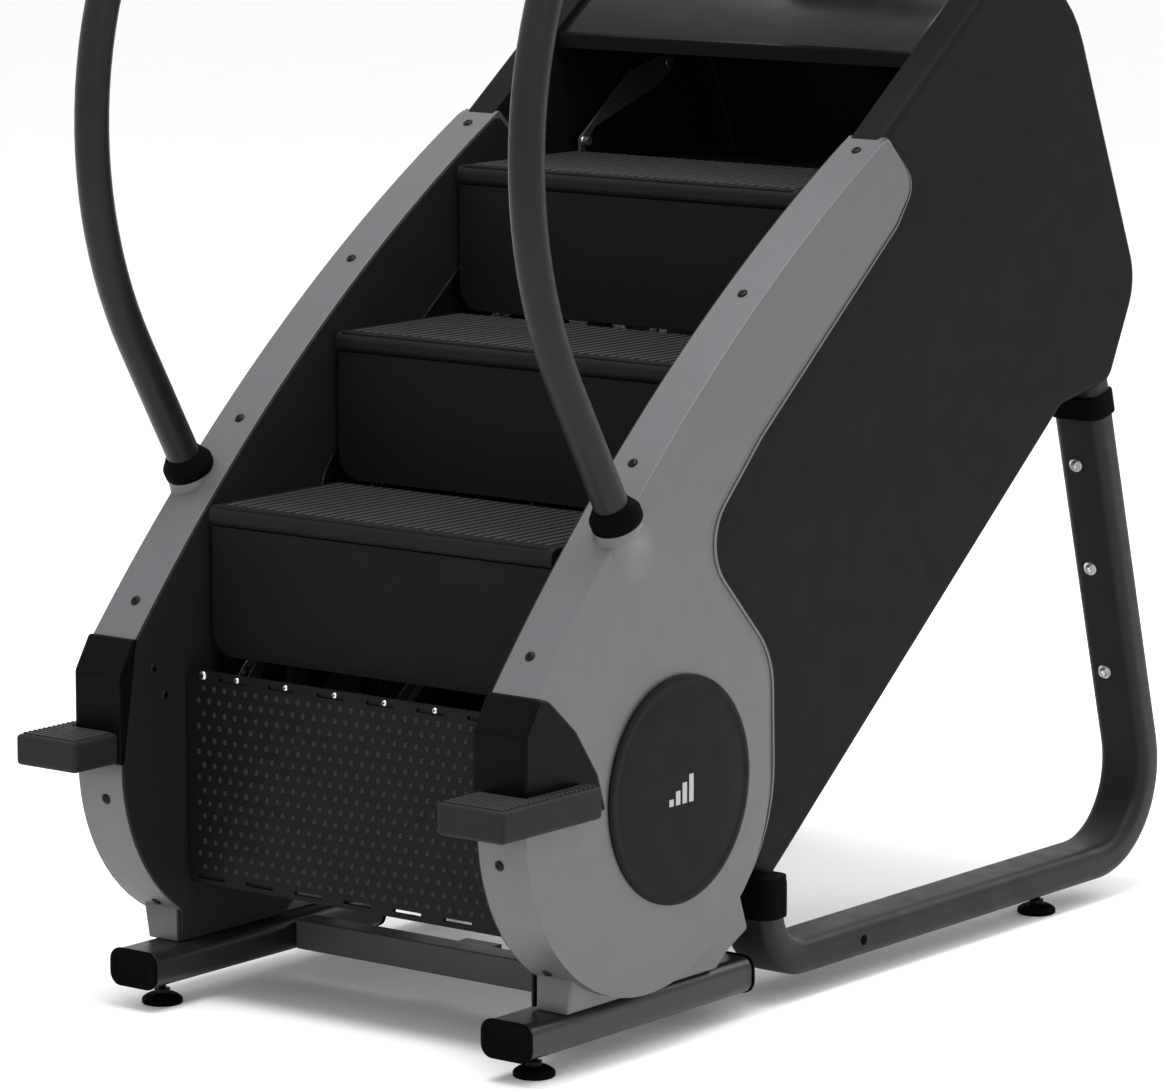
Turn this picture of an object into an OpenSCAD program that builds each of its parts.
// Stair climber: a revolving staircase for a gym, with side casings, handrails and a console.
// Frame: +X to the user's right, +Y from the front (where the user gets on) to the back, +Z up.
// The floor is z = 0 and the origin is under the middle of the machine.

/* [Stairs] */
// Height from one tread to the next
step_rise = 203.2; // [195:0.1:206]
// Depth from one nose to the next
step_run = 259; // [255:1:264]
// Number of steps on the chain loop
step_count = 8; // [8:1:8]
// Length of a tread across the machine
tread_len = 570; // [540:1:572]
// Thickness of a tread
tread_t = 28; // [22:1:30]
// Thickness of a riser
riser_t = 8; // [5:1:9]
// Distance between the ribs on a tread
rib_pitch = 16.5; // [14:0.5:20]
// First nose, measured back from the middle of the machine
first_nose_y = -545; // [-548:1:-542]
// First nose, height over the floor
first_nose_z = 659; // [655:1:662]

/* [Chain drive] */
// Pitch radius of the step sprockets
sprocket_r = 135; // [132:1:136]
// Teeth on a sprocket
sprocket_teeth = 21; // [18:1:24]
// Lower shaft, behind the hub covers
lower_y = -392; // [-394:1:-390]
// Height of the lower shaft
lower_z = 337; // [335:1:339]
// Diameter of the two sprocket shafts
shaft_d = 30; // [25:1:40]
// Pitch radius of the pulley on the upper shaft
drive_pulley_r = 110; // [90:1:120]
// Pitch radius of the generator pulley
generator_pulley_r = 30; // [25:1:40]

/* [Casings] */
// Half width over the side casings at the hubs
casing_x = 372; // [371:0.5:374]
// Half width to the inner edge of the front bands
band_x = 296; // [295:0.5:297]
// Wall thickness of the casings
wall = 5; // [4:0.5:6]
// Radius of the round lower end of a side casing
toe_r = 249; // [247:1:251]
// Radius of the casing round the hub, at the back
hub_back_r = 212; // [210:1:214]
// Radius of the round hub cover
hub_cover_r = 148; // [140:1:152]
// Radius of the long curve of the front bands
band_curve_r = 2714; // [2700:1:2730]

/* [Base and legs] */
// Width of the base tubes
tube_w = 78; // [74:1:80]
// Height of the base tubes
tube_h = 48; // [46:1:50]
// Wall of the base tubes
tube_t = 3; // [2:0.5:4]
// Corner radius of the base tubes
tube_r = 16; // [12:1:18]
// Half distance between the left and right feet
foot_x = 312; // [310:1:314]
// Height of the tube axis over the floor
tube_z = 56; // [54:1:58]
// Front end of the front runners
runner_front = -668; // [-672:1:-660]
// Back end of the front runners
runner_back = -206; // [-215:1:-200]
// Radius of the rear bend of a leg
leg_bend_r = 126; // [120:1:130]
// Lean of the rear upright, from the vertical
leg_lean = 15.2; // [14:0.1:16]

/* [Handrails and console] */
// Diameter of the handrail tube
rail_d = 45; // [40:1:48]
// Wall of the handrail tubes
rail_t = 2.5; // [2:0.5:3]
// Half distance between the handrails
rail_x = 355; // [352:1:357]
// Radius of the big curve of a handrail
rail_curve_r = 560; // [550:1:570]
// Lean of the handrail at its foot, towards the front
rail_foot_lean = 30.5; // [29:0.5:32]
// Slope of the hand grip part
rail_slope = 10; // [9:1:11]
// Top of the console
console_top = 2057; // [2050:1:2060]

/* [Hidden] */
$fn = 48;

// Stair geometry: u runs up the slope, n stands square to it and away from the chain loop.
slope = atan(step_rise / step_run);
pitch = norm([step_run, step_rise]);
up_slope = [cos(slope), sin(slope)];
off_slope = [-sin(slope), cos(slope)];
lower_axis = [lower_y, lower_z];
shaft_gap = (step_count * pitch - 2 * PI * sprocket_r) / 2;
upper_axis = lower_axis + shaft_gap * up_slope;
function stair(u, n) = lower_axis + u * up_slope + n * off_slope;
function nose(k) = [first_nose_y + (k - 1) * step_run, first_nose_z + (k - 1) * step_rise];

// Step pieces
tread_d = step_run + 3;
groove_w = 8;
riser_gap = 3;
riser_h = step_rise - tread_t - riser_gap;
riser_inset = 3;
fold_gap = 10;
fold_n = sprocket_r + fold_gap;
fold_t = tread_t + riser_t + 2;
hanger_y = [205, 250];
hanger_x = 240;
axle_d = 12;
chain_x = 266;
chain_h = 12;
link_t = 3;

// Frame pieces
frame_x = 300;
frame_t = 6;
bearing_t = 14;
shaft_gap_r = 0.08;
generator_u = shaft_gap - 350;
generator_axis = stair(generator_u, 0);
generator_r = 66;
generator_foot_n = -78;
belt_x = 190;
belt_w = 24;
belt_t = 3;

// Casing outlines
base_top = tube_z + tube_h / 2;
runner_y = [runner_front, runner_back];
pedestal_x = 352;
rear_x = casing_x - 20;
toe_c = [-459, 332];
band_top = [69, 1124];
band_bottom = [-681, 495];
band_curve_c = [1410.5, -1235.3];
band_a0 = atan2(band_bottom.y - band_curve_c.y, band_bottom.x - band_curve_c.x);
band_a1 = atan2(band_top.y - band_curve_c.y, band_top.x - band_curve_c.x);
crest_r = 170;
screw_x = 327;
// Angles of the casing screws round the centres of the band curve and of the toe
band_screws = [120.06, 126.42, 132.78, 139.14];
toe_screws = [190.5, 233];
guard_y = -586;
guard_t = 6;
guard_z = [162, 446];
guard_pitch = 83;
guard_slot = [46, 40, 5];
guard_screws = [-261, -202, -119, -36, 47, 130];
guard_x = tread_len / 2 + 3.5;
peg_y = [-793, -592];
peg_z = [337, 380];
peg_x = [299, 403];
peg_rib_pitch = 10;
peg_groove = [5, 10];
lip = [220, 1226];
lip_low = 1208;

// Rear legs: front stub, rear bend and top
stub_y = -150;
stub_bend_r = 75;
stub_top = 170;
sleeve_z = tube_z + stub_bend_r;
leg_back = [643, tube_z + leg_bend_r];
leg_top_z = 772;
top_sleeve_z = 700;
top_sleeve_h = 34;
leg_bolt_z = [324, 479, 632];
bolt_hole_d = 12;

// Levelling feet: front and rear position, and top of the stem
foot_y = [-616, 529];
foot_top = [70, 54];
pad_h = 13;
nut_h = 7;

// Handrail geometry
rail_c = [-683 + rail_curve_r, 1155];
rail_foot_z = 706;
rail_top_lean = 90 - rail_slope;
rail_end_len = 410;
rail_turn_r = 80;
rail_tip_x = 72;
rail_joint = 0.02;
grip_from = 120;
grip_len = 150;
grip_t = 2;

// Console geometry: the face leans back from the foot of the housing
face_foot = [150, 1800];
face_lean = 17.8;
face_h = 262;
console_w = 520;
stop_r = 21;
mast_foot = [536, 1035];
mast_w = 140;
stop_at = [150, 36];
rocker_at = [-150, 36];
screen_at = [0, 150];
screen_size = [342, 162, 6];
keypad_at = [0, 36];
keypad_size = [202, 38, 4];
pocket_gap = [2, 2, 2];

// ---------- helpers ----------
function unit(v) = v / norm(v);
function polar(c, r, a) = c + r * [cos(a), sin(a)];
function arc(c, r, a0, a1, n) = [for (i = [0:n]) polar(c, r, a0 + (a1 - a0) * i / n)];
function turn(a) = a > 180 ? a - 360 : a < -180 ? a + 360 : a;
function corner(a, p, b, r, n) =
    let (u = unit(a - p), w = unit(b - p), half = acos(u * w) / 2,
        c = p + unit(u + w) * r / sin(half),
        s = p + u * r / tan(half) - c, e = p + w * r / tan(half) - c,
        a0 = atan2(s.y, s.x), d = turn(atan2(e.y, e.x) - a0))
    arc(c, r, a0, a0 + d, n);
// Outline with round corners: each point is [y, z, radius]
function rounded(pts, n = 8) = [for (i = [0:len(pts) - 1])
    let (k = len(pts), a = pts[(i + k - 1) % k], p = pts[i], b = pts[(i + 1) % k])
    each (p[2] > 0 ? corner([a.x, a.y], [p.x, p.y], [b.x, b.y], p[2], n) : [[p.x, p.y]])];

// A side view outline (y, z) made solid from x0 to x1
module slab(x0, x1) {
    translate([x0, 0, 0]) rotate([90, 0, 90]) linear_extrude(x1 - x0) children();
}
module tube_wall() difference() {
    tube_section();
    tube_section(-tube_t);
}
module both_sides() {
    children();
    mirror([1, 0, 0]) children();
}
module rod(p, r, x0, x1) {
    translate([x0, p.x, p.y]) rotate([0, 90, 0]) cylinder(r = r, h = x1 - x0);
}
// Cross-section of a base tube, grown by g all round
module tube_section(g = 0) {
    w = tube_w + 2 * g;
    h = tube_h + 2 * g;
    r = tube_r + g;
    square([w - 2 * r, h], center = true);
    square([w, h - 2 * r], center = true);
    for (x = [-1, 1], y = [-1, 1]) translate([x * (w / 2 - r), y * (h / 2 - r)]) circle(r = r);
}

// ---------- casings ----------
module casing_outline(d = 0) {
    translate(toe_c) circle(r = toe_r - d, $fn = 96);
    translate(lower_axis) circle(r = hub_back_r - d, $fn = 96);
    front = arc(band_curve_c, band_curve_r - d, band_a0, band_a1, 24);
    polygon(rounded(concat([[toe_c.x - toe_r + d, toe_c.y, 0]], [for (p = front) [p.x, p.y, 0]],
        [[80, 1130, 0], [150, 1066, 30], [108, 1010, 60], [-200, 765, 90], [-330, 640, 70], [-180, 480, 110],
        [lower_y + hub_back_r, lower_z, 0], [lower_y, lower_z, 0]])));
}
module casing_cavity() {
    casing_outline(wall);
    polygon([[-440, 40], [200, 40], [200, 1000], [70, 1050]]);
}
module corner_outline() {
    polygon(rounded([[-684, 499, 6], [-712, 454, 14], [-712, 336, 0], [-546, 336, 0], [-562, 385, 20],
        [-606, 446, 40], [-660, 492, 30]]));
}
module peg_outline(gap = 0) {
    translate([peg_y[0] - gap, peg_z[0] - gap])
        square([peg_y[1] - peg_y[0] + 2 * gap, peg_z[1] - peg_z[0] + 2 * gap]);
}
module right_casing() {
    difference() {
        union() {
            slab(casing_x - wall, casing_x) casing_outline();
            slab(band_x, casing_x - 1) difference() {
                casing_outline();
                casing_cavity();
            }
            slab(pedestal_x - wall, pedestal_x) pedestal_outline();
            slab(band_x + 4, pedestal_x) translate([-598, base_top]) square([wall, 44]);
            rail_boss();
        }
        casing_cuts();
    }
}
module pedestal_outline() {
    polygon(rounded([[-598, base_top, 0], [-285, base_top, 0], [-266, 100, 10], [-226, 124, 6], [-262, 180, 0],
        [-560, 180, 0], [-598, 124, 0]]));
}
module rail_boss() {
    translate([rail_x, rail_foot().x, rail_foot().y]) rotate([rail_foot_lean, 0, 0]) translate([0, 0, -58])
        cylinder(r1 = 14, r2 = 33, h = 55);
}
module casing_cuts() {
    slab(band_x - 10, casing_x + 10) corner_outline();
    slab(band_x - 10, casing_x + 40) peg_outline(0.5);
    rod(lower_axis, hub_cover_r + 1, casing_x - 3, casing_x + 5);
    translate([rail_x, rail_foot().x, rail_foot().y]) rotate([rail_foot_lean, 0, 0]) {
        translate([0, 0, -40]) cylinder(d = rail_d + 1, h = 140);
        translate([0, 0, -4.5]) cylinder(d = 67, h = 60);
    }
    slab(band_x - 1, rear_x + 0.5)
        polygon([[51, 1000], [51, 1089], [73.5, 1128], [90, 1150], [200, 1150], [200, 1000]]);
    translate([0, runner_y[0], 0]) cube([500, runner_y[1] - runner_y[0], base_top]);
    translate([frame_x - 1, -545, 60]) cube([frame_t + 2, 175, 60]);
}
module right_side_casing() color("slategray") right_casing();
module left_side_casing() color("slategray") mirror([1, 0, 0]) right_casing();

module hub_covers() color("dimgray") both_sides() {
    rod(lower_axis, hub_cover_r, casing_x - 2, casing_x + 3);
    rod(lower_axis, 34, casing_x + 3, casing_x + 5);
}
module corner_plates() color("black") both_sides() difference() {
    slab(band_x - 3, casing_x + 2) corner_outline();
    slab(band_x + 2, casing_x - 4) offset(delta = -5) corner_outline();
    slab(band_x - 20, casing_x + 40) peg_outline(0.5);
}
module foot_pegs() color("dimgray") both_sides() difference() {
    slab(peg_x[0], peg_x[1]) polygon(rounded([[peg_y[0], peg_z[0], 8], [peg_y[1], peg_z[0], 2],
        [peg_y[1], peg_z[1], 2], [peg_y[0], peg_z[1], 8]]));
    for (y = [peg_y[0] + 14:peg_rib_pitch:-716])
        translate([peg_x[0] + 6, y, peg_z[1] - 2]) cube([92, peg_groove[0], peg_groove[1]]);
    for (y = [-704:peg_rib_pitch:peg_y[1] - 12])
        translate([casing_x + 8, y, peg_z[1] - 2]) cube([17, peg_groove[0], peg_groove[1]]);
}

module rear_outline() {
    polygon(rounded([[-160, 181, 10], [520, 727, 30], [640, 745, 40], [709, 884, 90], [478, 1427, crest_r],
        [74, 1127, 0], [52, 1090, 0], [-330, 740, 0], [-330, 620, 0], [-200, 420, 0], [-200, 200, 0]]));
}
module right_rear() {
    difference() {
        slab(frame_x + 1, rear_x) rear_outline();
        slab(frame_x, rear_x - wall) {
            offset(delta = -wall) rear_outline();
            polygon([[-500, -100], [600, 600], [660, 700], [660, 775], [560, 820], [100, 1080], [-500, 1000]]);
        }
        leg_hole();
    }
}
module leg_hole() {
    translate([foot_x, leg_at(top_sleeve_z), top_sleeve_z]) rotate([leg_lean, 0, 0])
        linear_extrude(80) tube_section(0.5);
}
module right_rear_casing() color("black") right_rear();
module left_rear_casing() color("black") mirror([1, 0, 0]) right_rear();

module cover_ring() {
    difference() {
        rear_outline();
        offset(delta = -wall) rear_outline();
    }
}
module rear_cover() color("black") difference() {
    slab(-frame_x, frame_x) intersection() {
        cover_ring();
        polygon([[560, 740], [900, 740], [900, 1219], [560, 1219]]);
    }
    both_sides() leg_hole();
}
module under_cover() color("black") slab(-casing_x + 26, casing_x - 26) intersection() {
    cover_ring();
    polygon([[-88, 100], [600, 650], [515, 760], [-88, 300]]);
}
module top_outline() {
    polygon(rounded([lip_point(0), [466, 1405, 165], [566, 1200, 0], [520, 1000, 0], [lip.x, 1000, 0]]));
}
function lip_point(r) = [lip.x, lip.y, r];
module top_cover() color("black") difference() {
    slab(-frame_x, frame_x) intersection() {
        difference() {
            top_outline();
            offset(delta = -wall) top_outline();
        }
        polygon([[lip.x - 5, lip_low], [lip.x + 60, lip_low], [lip.x + 60, 1220], [564, 1220],
            [564, 1500], [lip.x - 5, 1500]]);
    }
    mast_body(1);
}

module inner_skirts() color("black") both_sides() slab(tread_len / 2 + 4, tread_len / 2 + 7) difference() {
    union() {
        casing_outline(2);
        polygon([[0, 1060], [73, 1122], lip - [6, 4], [lip.x - 6, lip_low - 2], [lip.x + 65, lip_low - 2],
            [lip.x + 120, 1060]]);
    }
    polygon([[-590, 0], [-565, 440], stair(-60, 200), stair(shaft_gap + 60, 200), [500, 1000], [600, 0]]);
    polygon([[-700, 0], [-700, 110], [-580, 110], [-580, 0]]);
    slab_holes();
}
// Two screw holes beside the corner plate
module slab_holes() {
    for (p = [[-640, 430], [-622, 402]]) translate(p) circle(r = 3);
}

// ---------- guard ----------
module front_guard() color("black") difference() {
    translate([0, guard_y + guard_t, 0]) rotate([90, 0, 0]) linear_extrude(guard_t)
        polygon(rounded([[-guard_x, guard_z[0], 12], [guard_x, guard_z[0], 12],
            [guard_x, guard_z[1], 12], [-guard_x, guard_z[1], 12]]));
    for (i = [0:5]) {
        translate([-210 + i * guard_pitch, guard_y, guard_z[1] - 9]) cube(guard_slot, center = true);
        translate([-250 + i * guard_pitch, guard_y, guard_z[0] + 9]) cube(guard_slot, center = true);
    }
}

// ---------- base and legs ----------
module front_runners() color("black") both_sides() {
    translate([foot_x, runner_y[0], tube_z]) rotate([-90, 0, 0]) difference() {
        linear_extrude(runner_y[1] - runner_y[0]) tube_section();
        translate([0, 0, -1]) linear_extrude(runner_y[1] - runner_y[0] + 2) tube_section(-tube_t);
        for (z = [foot_y[0] - runner_y[0], 400])
            translate([0, 0, z]) rotate([-90, 0, 0]) cylinder(d = bolt_hole_d, h = tube_h);
    }
}
module runner_caps() color("black") both_sides() for (i = [0, 1])
    translate([foot_x, runner_y[i], tube_z]) rotate([-90, 0, 0]) mirror([0, 0, i]) {
        translate([0, 0, -6]) linear_extrude(6) tube_section(1.5);
        linear_extrude(20) tube_section(-3.5);
    }
module base_crossbar() color("black") translate([0, -370, tube_z]) rotate([0, 90, 0]) difference() {
    cube([40, 40, 2 * (foot_x - tube_w / 2)], center = true);
    cube([34, 34, 700], center = true);
}

module tube_bend(c, r, a0, sweep) {
    translate([foot_x, c.x, c.y]) rotate([0, 0, 90]) rotate([90, 0, 0]) rotate([0, 0, a0])
        rotate_extrude(angle = sweep) translate([r, 0]) rotate(90) children();
}
module leg_solid() {
    up = polar(leg_back, leg_bend_r, leg_lean);
    up_len = (leg_top_z - up.y) / cos(leg_lean);
    tube_bend(leg_back, leg_bend_r, -90, 90 + leg_lean) tube_wall();
    tube_bend([stub_y + stub_bend_r, tube_z + stub_bend_r], stub_bend_r, 180, 90) tube_wall();
    translate([foot_x, stub_y + stub_bend_r, tube_z]) rotate([-90, 0, 0])
        linear_extrude(leg_back.x - stub_y - stub_bend_r) tube_wall();
    translate([foot_x, stub_y, sleeve_z]) linear_extrude(stub_top - sleeve_z) tube_wall();
    translate([foot_x, up.x, up.y]) rotate([leg_lean, 0, 0]) linear_extrude(up_len) tube_wall();
}
module right_leg() difference() {
    leg_solid();
    translate([foot_x, foot_y[1], 0]) cylinder(d = bolt_hole_d, h = tube_z);
}
module right_rear_leg() color("dimgray") right_leg();
module left_rear_leg() color("dimgray") mirror([1, 0, 0]) right_leg();
module leg_sleeves() color("black") both_sides() {
    difference() {
        translate([foot_x, stub_y, sleeve_z]) linear_extrude(stub_top + 8 - sleeve_z) tube_section(wall);
        translate([foot_x, stub_y, sleeve_z - 1]) linear_extrude(stub_top - sleeve_z + 1) tube_section();
    }
    translate([foot_x, leg_at(top_sleeve_z), top_sleeve_z]) rotate([leg_lean, 0, 0]) difference() {
        linear_extrude(top_sleeve_h) tube_section(wall);
        translate([0, 0, -1]) linear_extrude(top_sleeve_h + 2) tube_section();
    }
}
// Middle of the rear upright at a height
function leg_at(z) = let (p = polar(leg_back, leg_bend_r, leg_lean)) p.x - (z - p.y) * tan(leg_lean);
module leg_bolts() color("gainsboro") both_sides() for (z = leg_bolt_z)
    translate([foot_x - 8, leg_at(z), z]) rotate([90 + leg_lean, 0, 0]) translate([0, 0, tube_h / 2]) {
        cylinder(d = 20, h = 2);
        translate([0, 0, 2]) cylinder(d = 13, h = 8, $fn = 6);
    }

// Rubber pad, jam nut and stem; end is 0 at the front and 1 at the rear
module foot(x, end) {
    translate([x, foot_y[end], 0]) {
        cylinder(d1 = 54, d2 = 30, h = pad_h);
        translate([0, 0, pad_h]) cylinder(d = 20, h = nut_h, $fn = 6);
        translate([0, 0, pad_h + nut_h]) cylinder(d = bolt_hole_d - 1, h = foot_top[end] - pad_h - nut_h);
    }
}
module front_left_foot() color("black") foot(-foot_x, 0);
module front_right_foot() color("black") foot(foot_x, 0);
module rear_left_foot() color("black") foot(-foot_x, 1);
module rear_right_foot() color("black") foot(foot_x, 1);

// ---------- frame ----------
module side_frames() color("gray") both_sides() slab(frame_x, frame_x + frame_t) difference() {
    polygon(rounded([[-520, base_top, 0], [-395, base_top, 0], [-330, 120, 20],
        [-190, stub_top + 8, 0], [-110, stub_top + 8, 0], [-96, 236, 20], stair3(560, -150, 20),
        [540, leg_top_z, 0], [625, leg_top_z, 0], [628, 830, 20], [596, 1040, 10], [520, 1040, 10],
        stair3(shaft_gap + 60, 110, 40), stair3(20, 120, 120), [-520, 330, 40]]));
    for (c = [lower_axis, upper_axis]) translate(c) circle(d = shaft_d + 6);
    for (u = [260, 430]) translate(stair(u, 0)) circle(r = 40);
}
function stair3(u, n, r) = let (p = stair(u, n)) [p.x, p.y, r];
module crossmember(p, size) slab(-frame_x, frame_x) translate(p) rotate(slope) difference() {
    square(size, center = true);
    square(size - 6, center = true);
}
module frame_crossmembers() color("gray") {
    for (u = [190, 330]) crossmember(stair(u, 0), 50);
    for (s = [-1, 1]) crossmember(stair(generator_u + 50 * s, generator_foot_n - 15), 30);
    slab(-frame_x, frame_x) translate([mast_foot.x + 34, mast_foot.y - 25]) difference() {
        square(50, center = true);
        square(44, center = true);
    }
}
module roller_tracks() color("silver") both_sides() for (n = [sprocket_r - 24, -sprocket_r + 20])
    slab(chain_x + 25, frame_x)
        polygon([stair(10, n), stair(shaft_gap - 10, n), stair(shaft_gap - 10, n + 4), stair(10, n + 4)]);
module shaft_bearings() color("silver") both_sides() for (c = [lower_axis, upper_axis])
    difference() {
        rod(c, 38, frame_x - bearing_t, frame_x);
        rod(c, shaft_d / 2 + shaft_gap_r, frame_x - bearing_t - 1, frame_x + 1);
    }

// ---------- drive ----------
module shaft(c) { rod(c, shaft_d / 2, -frame_x - 12, frame_x + 12); }
module lower_shaft() color("silver") shaft(lower_axis);
module upper_shaft() color("silver") shaft(upper_axis);
module sprocket_pair(c) both_sides() slab(chain_x - 4, chain_x + 4) translate(c) difference() {
    circle(r = sprocket_r + 5, $fn = 96);
    for (i = [0:sprocket_teeth - 1])
        rotate(i * 360 / sprocket_teeth) translate([sprocket_r + 3, 0]) circle(r = 9, $fn = 24);
    circle(d = shaft_d);
    for (i = [0:5]) rotate(i * 60) translate([90, 0]) circle(r = 30);
}
module lower_sprockets() color("gray") sprocket_pair(lower_axis);
module upper_sprockets() color("gray") sprocket_pair(upper_axis);
module loop_outline(r) {
    for (c = [lower_axis, upper_axis]) translate(c) circle(r = r, $fn = 96);
    polygon([stair(0, r), stair(shaft_gap, r), stair(shaft_gap, -r), stair(0, -r)]);
}
module step_chains() color("gray") both_sides() for (x = [chain_x - 10, chain_x + 7])
    slab(x, x + link_t) difference() {
        loop_outline(sprocket_r + chain_h / 2);
        loop_outline(sprocket_r - chain_h / 2);
    }
module drive_pulley() color("gray") difference() {
    rod(upper_axis, drive_pulley_r, belt_x - belt_w / 2, belt_x + belt_w / 2);
    rod(upper_axis, shaft_d / 2, 0, 300);
    for (i = [0:4]) rod(upper_axis + 66 * [cos(i * 72), sin(i * 72)], 24, 0, 300);
}
module belt_outline(extra) {
    r1 = drive_pulley_r + extra;
    r2 = generator_pulley_r + extra;
    a = asin((r1 - r2) / norm(upper_axis - generator_axis));
    translate(upper_axis) circle(r = r1, $fn = 96);
    translate(generator_axis) circle(r = r2, $fn = 96);
    t1 = slope + 90 + a;
    t2 = slope - 90 - a;
    polygon([upper_axis + r1 * [cos(t1), sin(t1)], generator_axis + r2 * [cos(t1), sin(t1)],
        generator_axis + r2 * [cos(t2), sin(t2)], upper_axis + r1 * [cos(t2), sin(t2)]]);
}
module drive_belt() color("black") slab(belt_x - belt_w / 2 + 1, belt_x + belt_w / 2 - 1) difference() {
    belt_outline(0.4 + belt_t);
    belt_outline(0.4);
}
module generator() color("dimgray") difference() {
    union() {
        rod(generator_axis, generator_r, 20, 160);
        slab(60, 140) translate(generator_axis) rotate(slope) {
            translate([-40, generator_foot_n]) square([80, -generator_foot_n]);
            translate([-72, generator_foot_n]) square([144, 8]);
        }
    }
    rod(generator_axis, 9, 100, 200);
}
module generator_pulley() color("gray") {
    rod(generator_axis, generator_pulley_r, belt_x - belt_w / 2, belt_x + belt_w / 2);
    rod(generator_axis, 8.7, 120, belt_x - belt_w / 2);
}
module control_box() color("gray") slab(-200, -20) translate(stair(170, 25)) rotate(slope) square([180, 70]);
module power_inlet() color("black") difference() {
    translate([-30, -350, tube_z - 18]) cube([60, 24, 36]);
    translate([-13, -344, tube_z - 11]) cube([26, 30, 22]);
}

// ---------- steps ----------
module tread_profile() {
    polygon(rounded([[0, 0, 12], [tread_d, 0, 2], [tread_d, -tread_t, 2], [0, -tread_t, 10]]));
}
module tread_grooves() {
    for (x = [-tread_len / 2 + 14:rib_pitch:tread_len / 2 - 14])
        translate([x - groove_w / 2, 16, -2]) cube([groove_w, tread_d - 28, 5]);
}
module tread() difference() {
    slab(-tread_len / 2, tread_len / 2) tread_profile();
    tread_grooves();
}
module riser() {
    h = riser_h;
    half = tread_len / 2 - 3;
    translate([0, riser_inset + riser_t, -tread_t]) rotate([90, 0, 0]) linear_extrude(riser_t)
        polygon(rounded([[-half, 0, 0], [half, 0, 0], [half, -h, 34], [-half, -h, 34]]));
}
module at_nose(k) { translate([0, nose(k).x, nose(k).y]) children(); }
module tread_1() color("darkslategray") at_nose(1) tread();
module tread_2() color("darkslategray") at_nose(2) tread();
module tread_3() color("darkslategray") at_nose(3) tread();
module riser_1() color("black") at_nose(1) riser();
module riser_2() color("black") at_nose(2) riser();
module riser_3() color("black") at_nose(3) riser();
// A folded step lies flat outside the chain: its tread against the chain, its riser on the tread.
module folded_step(c, angle) {
    translate([0, c.x, c.y]) rotate([angle, 0, 0]) {
        translate([0, -tread_d / 2, tread_t]) slab(-tread_len / 2, tread_len / 2) tread_profile();
        translate([-tread_len / 2 + 3, -riser_h / 2, tread_t + 2]) cube([tread_len - 6, riser_h, riser_t]);
    }
}
module return_steps() color("darkslategray") for (i = [0:2])
    folded_step(stair(40 + i * pitch, -fold_n), slope + 180);
module upper_turn_step() color("darkslategray")
    folded_step(upper_axis + fold_n * [cos(12), sin(12)], -78);
module lower_turn_step() color("darkslategray")
    folded_step([guard_y + guard_t + 5 + fold_t, 301], 90);
// Point on the chain under the back of a tread
function axle_at(k) = let (p = nose(k) + [hanger_y[1] - 20, -tread_t] - lower_axis)
    stair(p * up_slope, sprocket_r);
module step_axles() color("silver") for (k = [2, 3]) {
    rod(axle_at(k), axle_d / 2, -chain_x + 12, chain_x - 12);
    both_sides() slab(hanger_x, hanger_x + 5) difference() {
        polygon([nose(k) + [hanger_y[0], -tread_t], nose(k) + [hanger_y[1], -tread_t],
            axle_at(k) + [12, -4], axle_at(k) + [0, -12], axle_at(k) + [-12, -4]]);
        translate(axle_at(k)) circle(d = axle_d);
    }
}
module step_link() color("dimgray") mirror([1, 0, 0]) {
    slab(tread_len / 2 - 12, tread_len / 2 - 8)
        polygon(rounded([[235.2, 1044, 0], [243, 1044, 0], [250, 1075, 0], [269, 1096, 0], [413, 1144, 0],
            [465, 1173, 12], [437, 1188, 12], [352, 1169, 0], [235.2, 1082, 0]]));
    rod([243, 1078], 6, tread_len / 2 - 22, tread_len / 2 - 6);
    rod([442, 1175], 7, tread_len / 2 - 14, tread_len / 2 - 2);
}

// ---------- handrails and console ----------
function rail_foot() = let (a = rail_foot_lean, p = rail_c - rail_curve_r * [cos(a), sin(a)])
    p + [(p.y - rail_foot_z) * tan(a), rail_foot_z - p.y];
module rail_section() difference() {
    circle(d = rail_d);
    circle(d = rail_d - 2 * rail_t);
}
function rail_high() = polar(rail_c, rail_curve_r, 180 - rail_top_lean);
module on_grip() {
    translate([rail_x, rail_high().x, rail_high().y]) rotate([rail_slope, 0, 0]) children();
}
module right_rail() {
    a = rail_foot_lean;
    p = rail_c - rail_curve_r * [cos(a), sin(a)];
    foot_len = (p.y - rail_foot_z) / cos(a) + 38;
    translate([rail_x, p.x, p.y]) rotate([a, 0, 0]) translate([0, 0, -foot_len])
        linear_extrude(foot_len - rail_joint) rail_section();
    translate([rail_x, rail_c.x, rail_c.y]) rotate([0, 0, 90]) rotate([90, 0, 0])
        rotate([0, 0, 180 - rail_top_lean]) rotate_extrude(angle = rail_top_lean + a, $fn = 96)
            translate([rail_curve_r, 0]) rail_section();
    on_grip() rotate([-90, 0, 0]) translate([0, 0, rail_joint])
        linear_extrude(rail_end_len - 2 * rail_joint) rail_section();
    on_grip() rotate([0, 180, 0]) translate([rail_turn_r, rail_end_len, 0]) {
        rotate([0, 0, 90]) rotate_extrude(angle = 90) translate([rail_turn_r, 0]) rail_section();
        translate([rail_joint, rail_turn_r, 0]) rotate([0, 90, 0])
            linear_extrude(rail_x - rail_turn_r - rail_tip_x) rail_section();
    }
}
module right_handrail() color("dimgray") right_rail();
module left_handrail() color("dimgray") mirror([1, 0, 0]) right_rail();
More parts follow.
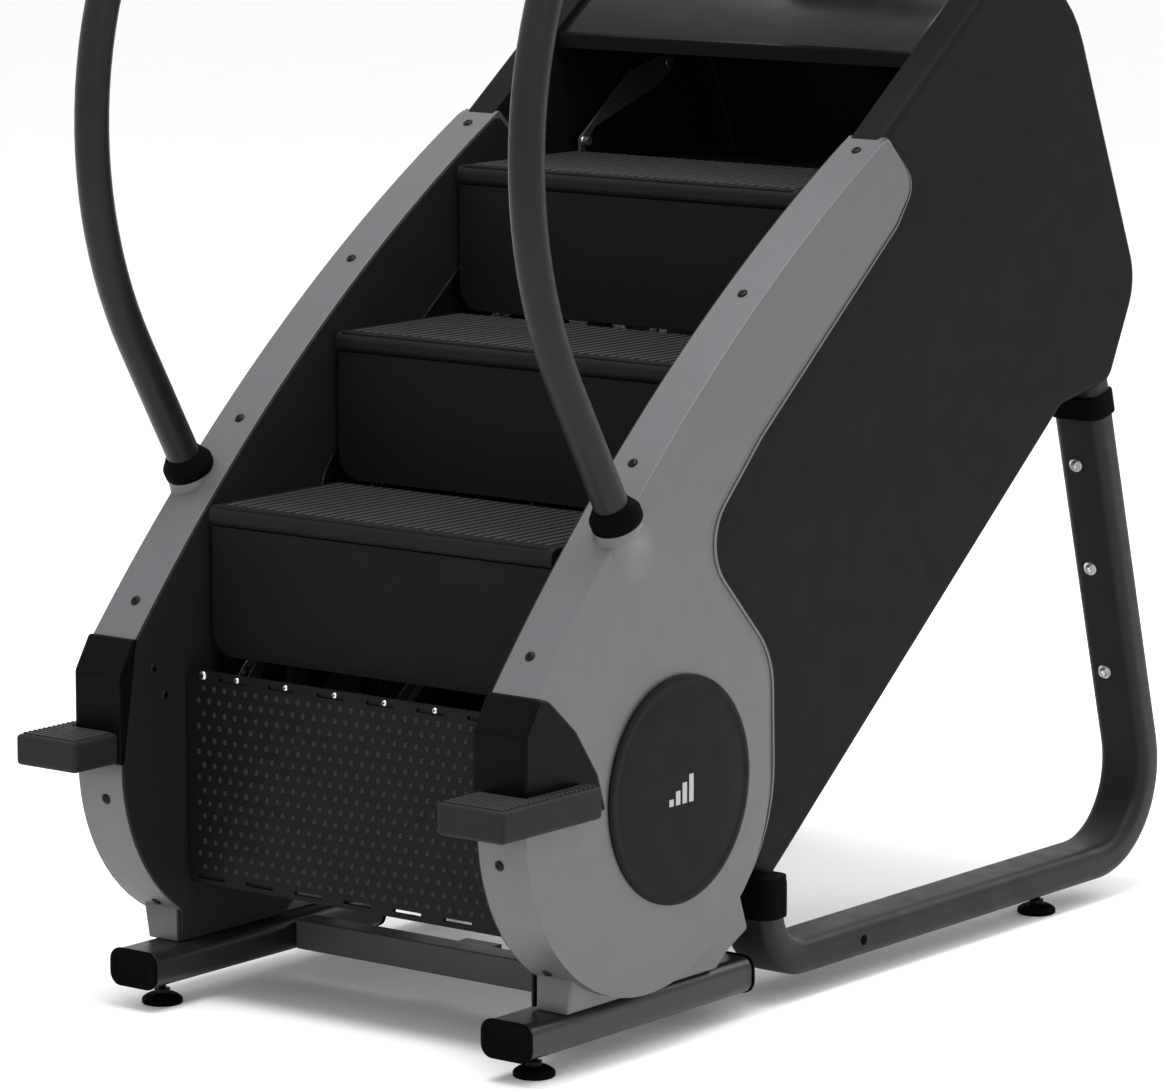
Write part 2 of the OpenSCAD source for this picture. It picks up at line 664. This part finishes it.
module rail_collars() color("black") both_sides()
    translate([rail_x, rail_foot().x, rail_foot().y]) rotate([rail_foot_lean, 0, 0]) difference() {
        union() {
            translate([0, 0, -4]) cylinder(d = 66, h = 12);
            translate([0, 0, 8]) cylinder(d1 = 62, d2 = 54, h = 14);
        }
        translate([0, 0, -10]) cylinder(d = rail_d, h = 50);
    }
module heart_rate_grips() color("silver") both_sides() on_grip() rotate([-90, 0, 0])
    translate([0, 0, grip_from]) difference() {
        cylinder(d = rail_d + 2 * grip_t, h = grip_len);
        translate([0, 0, -1]) cylinder(d = rail_d, h = grip_len + 2);
    }

module mast_side() {
    polygon(rounded([[mast_foot.x, mast_foot.y, 0], [mast_foot.x + 68, mast_foot.y, 0], [318, 1790, 10],
        [236, 1790, 10]]));
}
module mast_body(gap) {
    slab(-mast_w / 2 - gap, mast_w / 2 + gap) offset(delta = gap) mast_side();
}
module console_mast() color("black") difference() {
    mast_body(0);
    slab(-mast_w / 2 + 3, mast_w / 2 - 3) offset(delta = -3) mast_side();
    console_body();
}
module console_body() { slab(-console_w / 2, console_w / 2) polygon(console_profile()); }
function face_dir() = [sin(face_lean), cos(face_lean)];
function console_profile() = let (a = face_foot, b = face_foot + face_h * face_dir())
    rounded([[a.x, a.y, 12], [b.x, b.y, 20], [b.x + 66, console_top, 20], [b.x + 92, b.y - 70, 40],
        [a.x + 150, a.y - 30, 30], [a.x + 30, a.y - 46, 16]]);
module on_face(p) {
    translate([0, face_foot.x, face_foot.y]) rotate([90 - face_lean, 0, 0])
        translate([p.x, p.y, 0]) children();
}
module console_housing() color("dimgray") difference() {
    console_body();
    console_hollow();
    on_face(screen_at) cube(screen_size + pocket_gap, center = true);
    on_face(keypad_at) cube(keypad_size + pocket_gap, center = true);
    on_face(stop_at) cylinder(r = stop_r + 1, h = 40, center = true);
    on_face(rocker_at) cube([64, 34, 36], center = true);
    rail_hole();
}
module console_hollow() {
    slab(-console_w / 2 + 4, console_w / 2 - 4) intersection() {
        offset(delta = -4) polygon(console_profile());
        translate(face_foot) rotate(-face_lean) translate([26, -200]) square([400, 600]);
    }
}
module rail_hole() {
    c = rail_high() + (rail_end_len + rail_turn_r) * [cos(rail_slope), sin(rail_slope)];
    rod(c, rail_d / 2 + 0.3, -300, 300);
}
module console_screen() color("black") on_face(screen_at)
    translate([0, 0, -1]) cube(screen_size, center = true);
module console_keypad() color("darkslategray") on_face(keypad_at)
    translate([0, 0, -1]) cube(keypad_size, center = true);
module stop_button() color("red") on_face(stop_at) translate([0, 0, -8]) {
    cylinder(r = stop_r, h = 15);
    translate([0, 0, 15]) cylinder(r1 = stop_r, r2 = stop_r - 5, h = 3);
}
module level_rocker() color("gray") on_face(rocker_at) translate([0, 0, -4]) {
    rotate([0, 90, 0]) cylinder(d = 20, h = 58, center = true);
    translate([0, 0, 4]) cube([58, 28, 10], center = true);
}

// ---------- fasteners ----------
module screw(r) { cylinder(r = r, h = 3); }
module on_curve(c, r, a) {
    translate([screw_x, c.x + r * cos(a), c.y + r * sin(a)]) rotate([a - 90, 0, 0]) children();
}
module casing_screws() color("black") {
    both_sides() for (a = band_screws) on_curve(band_curve_c, band_curve_r, a) screw(7);
    both_sides() for (a = toe_screws) on_curve(toe_c, toe_r, a) screw(7);
    for (x = guard_screws) translate([x, guard_y, guard_z[1] - 6]) rotate([90, 0, 0]) screw(4);
}

left_side_casing();
right_side_casing();
left_rear_casing();
right_rear_casing();
top_cover();
rear_cover();
under_cover();
inner_skirts();
front_guard();
hub_covers();
foot_pegs();
corner_plates();
front_runners();
runner_caps();
base_crossbar();
left_rear_leg();
right_rear_leg();
leg_sleeves();
leg_bolts();
casing_screws();
front_left_foot();
front_right_foot();
rear_left_foot();
rear_right_foot();
side_frames();
frame_crossmembers();
roller_tracks();
shaft_bearings();
lower_shaft();
upper_shaft();
lower_sprockets();
upper_sprockets();
step_chains();
tread_1();
tread_2();
tread_3();
riser_1();
riser_2();
riser_3();
lower_turn_step();
upper_turn_step();
return_steps();
step_axles();
step_link();
drive_pulley();
drive_belt();
generator();
generator_pulley();
control_box();
power_inlet();
left_handrail();
right_handrail();
rail_collars();
heart_rate_grips();
console_mast();
console_housing();
console_screen();
console_keypad();
stop_button();
level_rocker();
